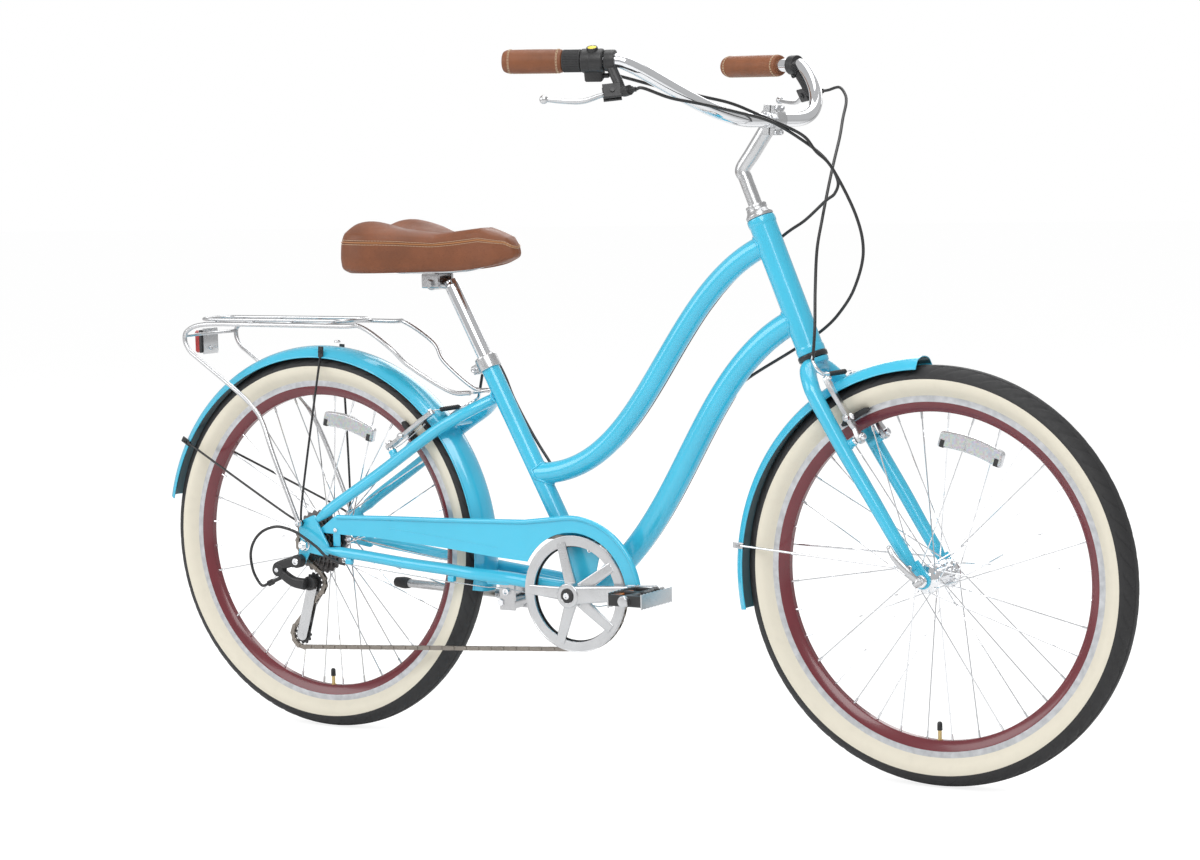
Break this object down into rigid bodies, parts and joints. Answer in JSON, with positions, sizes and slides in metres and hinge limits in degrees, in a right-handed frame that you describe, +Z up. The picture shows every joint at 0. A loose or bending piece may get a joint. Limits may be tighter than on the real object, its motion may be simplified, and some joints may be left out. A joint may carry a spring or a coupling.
{
  "type": "step-through hybrid bicycle",
  "caption": "Upright step-through bicycle with swept bar, fenders, rear rack, chain guard, rim brakes, twist shifting and a side kickstand",
  "frame": {"origin": "on the ground, at the middle of the bicycle's overall box, where the tyre_feet mount is", "axes": "+X towards the front wheel, +Y towards the left side, +Z up"},
  "size_m": [1.8526, 0.762, 1.1629],
  "materials": {
    "sky_blue_enamel": "bright sky blue gloss enamel",
    "satin_alloy": "satin silver",
    "plated_steel": "bright zinc plate",
    "chrome": "polished chrome",
    "brown_leather": "brown stitched leather",
    "black_rubber": "matt black rubber",
    "black_plastic": "satin black moulding",
    "cream_wall_tyre": "cream side walls with a black tread",
    "burgundy_rim": "burgundy enamel with a bare silver brake track",
    "dark_cog_steel": "dark plated steel",
    "oiled_chain_steel": "oiled steel"
  },
  "bodies": {
    "frame": {"head_tube": "sky_blue_enamel", "top_tube": "sky_blue_enamel", "down_tube": "sky_blue_enamel", "seat_tube": "sky_blue_enamel", "bottom_bracket_shell": "sky_blue_enamel", "seat_stays": "sky_blue_enamel", "chainstays": "sky_blue_enamel", "seat_clamp": "satin_alloy", "chain_guard": "sky_blue_enamel", "chain": "oiled_chain_steel", "rear_fender": "sky_blue_enamel", "rack": "satin_alloy", "rack_reflector": "black_plastic", "rear_axle": "plated_steel", "derailleur_body": "black_plastic", "rear_brake_cable": "black_rubber", "shift_cable": "black_rubber"},
    "steering": {"fork": "sky_blue_enamel", "headset_cap": "satin_alloy", "stem": "satin_alloy", "stem_faceplate": "satin_alloy", "handlebar": "chrome", "grip_right": "brown_leather", "grip_left": "brown_leather", "shifter_body": "black_plastic", "brake_bracket_right": "black_plastic", "brake_bracket_left": "black_plastic", "front_fender": "sky_blue_enamel", "front_brake_cable": "black_rubber", "front_axle": "plated_steel"},
    "seat": {"seatpost": "chrome", "saddle_rails": "plated_steel", "saddle_base": "black_plastic", "saddle_cover": "brown_leather"},
    "front_wheel": {"front_tyre": "cream_wall_tyre", "front_rim": "burgundy_rim", "front_spokes": "chrome"},
    "rear_wheel": {"rear_tyre": "cream_wall_tyre", "rear_rim": "burgundy_rim", "rear_spokes": "chrome"},
    "crankset": {"crank_right": "satin_alloy", "chainring": "plated_steel", "crank_left": "satin_alloy"},
    "shift_grip": {"shift_grip": "black_rubber"},
    "brake_lever_right": {"brake_lever_right": "satin_alloy"},
    "brake_lever_left": {"brake_lever_left": "satin_alloy"},
    "front_qr_lever": {"front_qr_lever": "chrome"},
    "front_brake_arm_right": {"front_brake_arm_right": "satin_alloy"},
    "front_brake_arm_left": {"front_brake_arm_left": "satin_alloy"},
    "rear_brake_arm_right": {"rear_brake_arm_right": "satin_alloy"},
    "rear_brake_arm_left": {"rear_brake_arm_left": "satin_alloy"},
    "freewheel": {"freewheel": "dark_cog_steel"},
    "pedal_right": {"pedal_right": "black_plastic"},
    "pedal_left": {"pedal_left": "black_plastic"},
    "derailleur_knuckle": {"derailleur_knuckle": "black_plastic"},
    "derailleur_cage": {"derailleur_cage": "satin_alloy"},
    "upper_pulley": {"upper_pulley": "black_plastic"},
    "lower_pulley": {"lower_pulley": "black_plastic"},
    "kickstand_leg": {"kickstand_leg": "plated_steel"}
  },
  "joints": [
    {"name": "steering", "type": "hinge", "parent": "frame", "child": "steering", "pos_m": [0.388, 0, 0.673], "axis": [-0.3778, 0, 0.9259], "range_deg": [-60, 60], "deforming": ["rear_brake_cable", "shift_cable"]},
    {"name": "front_wheel_spin", "type": "hinge", "parent": "steering", "child": "front_wheel", "pos_m": [0.601, 0, 0.33], "axis": [0, 1, 0], "continuous": true},
    {"name": "rear_wheel_spin", "type": "hinge", "parent": "frame", "child": "rear_wheel", "pos_m": [-0.579, 0, 0.33], "axis": [0, 1, 0], "continuous": true},
    {"name": "crank_spin", "type": "hinge", "parent": "frame", "child": "crankset", "pos_m": [-0.032, 0, 0.2735], "axis": [0, 1, 0], "continuous": true},
    {"name": "pedal_right_spin", "type": "hinge", "parent": "crankset", "child": "pedal_right", "pos_m": [0.13735, 0, 0.28832], "axis": [0, 1, 0], "continuous": true},
    {"name": "pedal_left_spin", "type": "hinge", "parent": "crankset", "child": "pedal_left", "pos_m": [-0.20135, 0, 0.25868], "axis": [0, 1, 0], "continuous": true},
    {"name": "freewheel_spin", "type": "hinge", "parent": "frame", "child": "freewheel", "pos_m": [-0.579, 0, 0.33], "axis": [0, 1, 0], "continuous": true},
    {"name": "derailleur_shift", "type": "slide", "parent": "frame", "child": "derailleur_knuckle", "axis": [0, 0.8035, -0.5953], "range_m": [0, 0.0336], "deforming": ["chain", "shift_cable"]},
    {"name": "cage_swing", "type": "hinge", "parent": "derailleur_knuckle", "child": "derailleur_cage", "pos_m": [-0.5755, -0.05, 0.262], "axis": [0, 1, 0], "range_deg": [-30, 20], "stiffness_Nm_per_rad": 2, "deforming": ["chain"]},
    {"name": "upper_pulley_spin", "type": "hinge", "parent": "derailleur_cage", "child": "upper_pulley", "pos_m": [-0.5755, -0.05, 0.262], "axis": [0, 1, 0], "continuous": true},
    {"name": "lower_pulley_spin", "type": "hinge", "parent": "derailleur_cage", "child": "lower_pulley", "pos_m": [-0.603, -0.05, 0.1685], "axis": [0, 1, 0], "continuous": true},
    {"name": "shift_twist", "type": "hinge", "parent": "steering", "child": "shift_grip", "pos_m": [0.13903, -0.31763, 1.13818], "axis": [-0.9527, -0.3031, 0.0202], "range_deg": [0, 130], "deforming": ["shift_cable"]},
    {"name": "brake_lever_right_squeeze", "type": "hinge", "parent": "steering", "child": "brake_lever_right", "pos_m": [0.221, -0.313, 1.0886], "axis": [-0.5121, 0.7566, -0.4065], "range_deg": [0, 20], "stiffness_Nm_per_rad": 1.5, "deforming": ["rear_brake_cable"]},
    {"name": "brake_lever_left_squeeze", "type": "hinge", "parent": "steering", "child": "brake_lever_left", "pos_m": [0.221, 0.313, 1.0886], "axis": [0.5121, 0.7566, 0.4065], "range_deg": [0, 20], "stiffness_Nm_per_rad": 1.5, "deforming": ["front_brake_cable"]},
    {"name": "front_brake_right_squeeze", "type": "hinge", "parent": "steering", "child": "front_brake_arm_right", "pos_m": [0.4922, -0.043, 0.54648], "axis": [-0.8541, 0, -0.5201], "range_deg": [0, 2.2], "deforming": ["front_brake_cable"]},
    {"name": "front_brake_left_squeeze", "type": "hinge", "parent": "steering", "child": "front_brake_arm_left", "pos_m": [0.4922, 0.043, 0.54648], "axis": [0.8541, 0, 0.5201], "range_deg": [0, 2.2], "deforming": ["front_brake_cable"]},
    {"name": "rear_brake_right_squeeze", "type": "hinge", "parent": "frame", "child": "rear_brake_arm_right", "pos_m": [-0.40718, -0.043, 0.50646], "axis": [0.5547, 0, -0.832], "range_deg": [0, 2.4], "deforming": ["rear_brake_cable"]},
    {"name": "rear_brake_left_squeeze", "type": "hinge", "parent": "frame", "child": "rear_brake_arm_left", "pos_m": [-0.40718, 0.043, 0.50646], "axis": [-0.5547, 0, 0.832], "range_deg": [0, 2.4], "deforming": ["rear_brake_cable"]},
    {"name": "quick_release_flip", "type": "hinge", "parent": "steering", "child": "front_qr_lever", "pos_m": [0.601, -0.0705, 0.33], "axis": [0.7488, 0, 0.6628], "range_deg": [0, 160]},
    {"name": "kickstand_swing", "type": "hinge", "parent": "frame", "child": "kickstand_leg", "pos_m": [-0.208, 0.0405, 0.247], "axis": [-0.1204, -0.8878, -0.4443], "range_deg": [0, 75.6]},
    {"name": "seat_height", "type": "slide", "parent": "frame", "child": "seat", "axis": [-0.467, 0, 0.8843], "range_m": [-0.03, 0.02]}
  ],
  "couplings": [
    {"joint": "freewheel_spin", "follows": "crank_spin", "ratio": 3.2857},
    {"joint": "upper_pulley_spin", "follows": "crank_spin", "ratio": -4.1818},
    {"joint": "lower_pulley_spin", "follows": "crank_spin", "ratio": 4.1818},
    {"joint": "derailleur_shift", "follows": "shift_twist", "m_per_rad": 0.014808},
    {"joint": "front_brake_right_squeeze", "follows": "brake_lever_left_squeeze", "ratio": 0.11},
    {"joint": "front_brake_left_squeeze", "follows": "brake_lever_left_squeeze", "ratio": 0.11},
    {"joint": "rear_brake_right_squeeze", "follows": "brake_lever_right_squeeze", "ratio": 0.12},
    {"joint": "rear_brake_left_squeeze", "follows": "brake_lever_right_squeeze", "ratio": 0.12}
  ]
}
